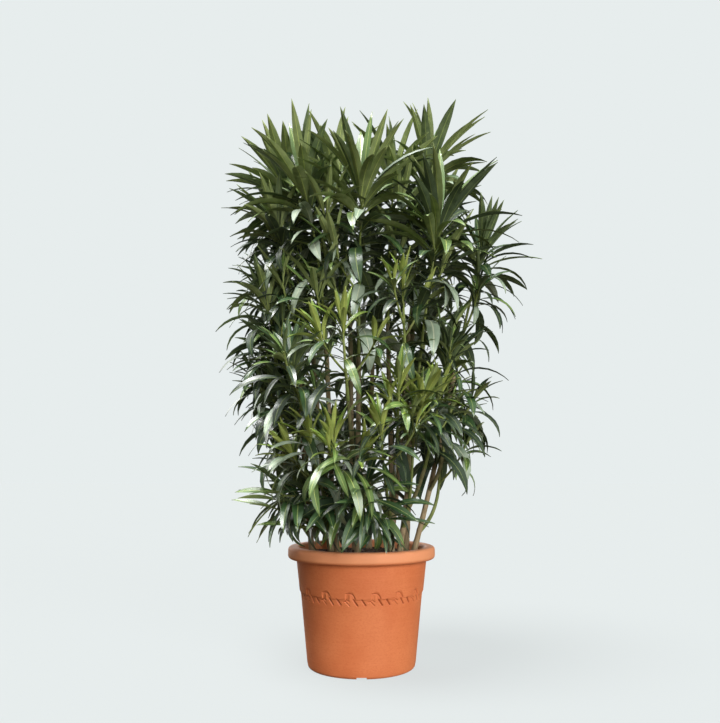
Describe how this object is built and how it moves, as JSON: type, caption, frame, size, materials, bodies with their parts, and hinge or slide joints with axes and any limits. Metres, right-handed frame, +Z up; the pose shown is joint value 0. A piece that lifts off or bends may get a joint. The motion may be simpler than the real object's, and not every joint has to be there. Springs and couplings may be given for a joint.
{
  "type": "potted oleander",
  "caption": "Oleander shrub with leaning stems and masses of long narrow leaves, in a round terracotta-coloured pot with a thick rim.",
  "frame": {"origin": "centre of the pot's flat underside", "axes": "+Z up along the pot's axis, -Y towards the viewer of the picture, +X to the viewer's right"},
  "size_m": [0.6918, 0.6377, 1.2366],
  "materials": {
    "pot": "satin moulded plastic, terracotta colour",
    "soil": "damp potting soil, rough",
    "bark": "smooth tan-brown bark with small pores",
    "young_bark": "smooth green-brown bark",
    "leaf": "leathery dark green leaf with a pale midrib",
    "young_leaf": "young yellow-green leaf"
  },
  "bodies": {
    "root": {"pot": "pot", "soil": "soil", "stem_front_left": "bark", "stem_front": "bark", "stem_right": "bark", "stem_front_right": "bark", "stem_far_right": "bark", "stem_left": "bark", "stem_far_left": "bark", "stem_middle": "bark", "stem_back": "bark", "stem_back_right": "bark", "stem_far_back": "bark", "stem_back_left": "bark", "bough_upper_left": "young_bark", "bough_left": "young_bark", "bough_lower_left": "young_bark", "bough_low_front_left": "young_bark", "bough_front_centre": "young_bark", "bough_front_upper": "young_bark", "bough_low_front": "young_bark", "bough_low_front_right": "young_bark", "bough_lower_right": "young_bark", "bough_right_back": "young_bark", "bough_low_back_left": "young_bark", "leaves_front_left_crown": "leaf", "leaves_front_crown": "leaf", "leaves_right_crown": "leaf", "leaves_front_right_crown": "leaf", "leaves_far_right_crown": "leaf", "leaves_left_crown": "leaf", "leaves_far_left_crown": "leaf", "leaves_middle_crown": "leaf", "leaves_back_crown": "leaf", "leaves_back_right_crown": "leaf", "leaves_far_back_crown": "leaf", "leaves_back_left_crown": "leaf", "leaves_upper_left": "leaf", "leaves_left": "leaf", "leaves_lower_left": "leaf", "leaves_low_front_left": "leaf", "leaves_front_centre": "young_leaf", "leaves_front_upper": "young_leaf", "leaves_low_front": "young_leaf", "leaves_low_front_right": "young_leaf", "leaves_lower_right": "leaf", "leaves_right_back": "leaf", "leaves_low_back_left": "leaf", "leaves_front_left_tuft": "young_leaf", "leaves_front_tuft": "young_leaf", "leaves_centre_tuft": "young_leaf", "leaves_right_tuft": "young_leaf", "leaves_left_low": "leaf", "leaves_right_low": "leaf", "leaves_middle_back": "leaf", "leaves_back_low_right": "leaf", "leaves_back_low": "leaf", "leaves_back_low_left": "leaf", "leaves_skirt_left": "leaf", "leaves_skirt_front": "leaf"}
  },
  "joints": []
}
